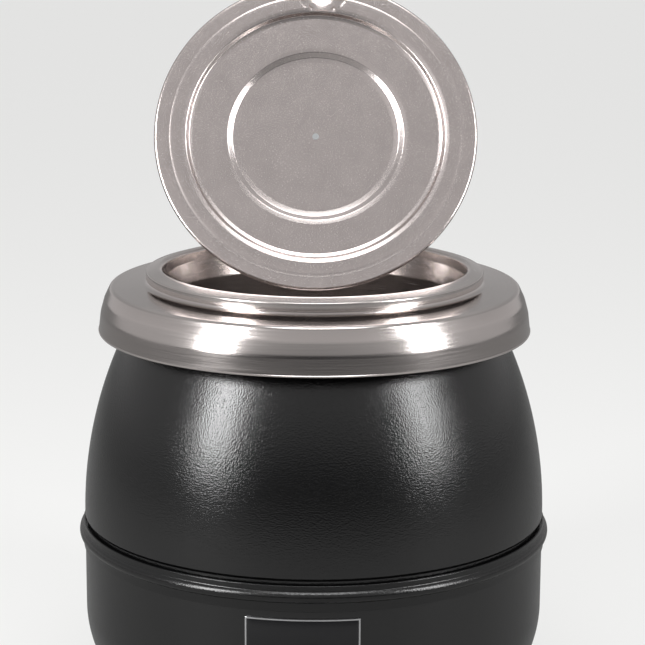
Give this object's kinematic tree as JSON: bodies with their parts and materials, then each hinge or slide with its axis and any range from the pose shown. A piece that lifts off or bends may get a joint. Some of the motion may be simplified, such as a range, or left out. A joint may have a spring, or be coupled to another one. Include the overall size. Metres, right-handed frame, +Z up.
{
  "type": "soup kettle",
  "caption": "Free-standing electric soup kettle with a black casing, stainless collar, lift-out pot in a water jacket, and a round lid on a pull-forward hinge.",
  "frame": {"origin": "centre of the kettle on the surface it stands on", "axes": "+Z up; the control knob and badge face -Y; the lid hinge and the cord gland are at +Y"},
  "size_m": [0.3399, 0.3822, 0.505],
  "materials": {
    "black_hammer": "hammered black powder coat",
    "black_band": "satin black",
    "collar_steel": "circular brushed, bright",
    "pot_steel": "fine satin",
    "lid_steel": "fine satin, polished edge",
    "pan_steel": "satin",
    "zinc_steel": "zinc plated",
    "bright_steel": "polished",
    "aluminium": "cast",
    "incoloy": "heat stained sheath",
    "black_phenolic": "satin moulded",
    "black_nylon": "satin moulded",
    "rubber": "matt",
    "cream_plastic": "moulded",
    "amber_lens": "clear amber",
    "copper": "drawn tube",
    "brass": "turned",
    "wire_red": "silicone sleeve",
    "badge_black": "gloss",
    "badge_silver": "bright edge"
  },
  "bodies": {
    "base": {"lower_casing": "black_hammer", "upper_casing": "black_hammer", "joint_band": "black_band", "base_plate": "zinc_steel", "rubber_feet": "rubber", "foot_screws": "zinc_steel", "foot_nuts": "zinc_steel", "casing_screws": "zinc_steel", "collar_ring": "collar_steel", "pan_gasket": "rubber", "water_pan": "pan_steel", "heat_plate": "aluminium", "heating_element": "incoloy", "element_clamp": "zinc_steel", "tie_stud": "zinc_steel", "tie_nuts": "zinc_steel", "thermal_cutout": "black_phenolic", "thermostat_body": "cream_plastic", "thermostat_bracket": "zinc_steel", "thermostat_capillary": "copper", "terminal_block": "cream_plastic", "earth_stud": "brass", "internal_wiring": "wire_red", "dial_plate": "aluminium", "lamp_bezel": "bright_steel", "lamp_lens": "amber_lens", "badge_frame": "badge_silver", "badge_face": "badge_black", "cord_gland": "black_nylon", "gland_nut": "black_nylon"},
    "knob": {"control_knob": "black_phenolic", "thermostat_shaft": "zinc_steel"},
    "pot": {"inset_pot": "pot_steel", "hinge_bracket": "pan_steel", "bracket_rivets": "zinc_steel", "stop_rivet": "zinc_steel"},
    "slide": {"hinge_slide": "pan_steel", "hinge_pin": "bright_steel"},
    "lid": {"lid_shell": "lid_steel", "hinge_leaf": "pan_steel", "lid_knob": "black_phenolic", "knob_washer": "bright_steel", "knob_screw": "zinc_steel"}
  },
  "joints": [
    {"name": "knob_turn", "type": "hinge", "parent": "base", "child": "knob", "pos_m": [0, -0.18, 0.052], "axis": [0, 1, 0], "range_deg": [0, 270]},
    {"name": "pot_lift", "type": "slide", "parent": "base", "child": "pot", "axis": [0, 0, 1], "range_m": [0, 0.26]},
    {"name": "lid_slide", "type": "slide", "parent": "pot", "child": "slide", "axis": [0, 1, 0], "range_m": [0, 0.0252]},
    {"name": "lid_hinge", "type": "hinge", "parent": "slide", "child": "lid", "pos_m": [0, 0.049, 0.3262], "axis": [1, 0, 0], "range_deg": [0, 116]}
  ]
}
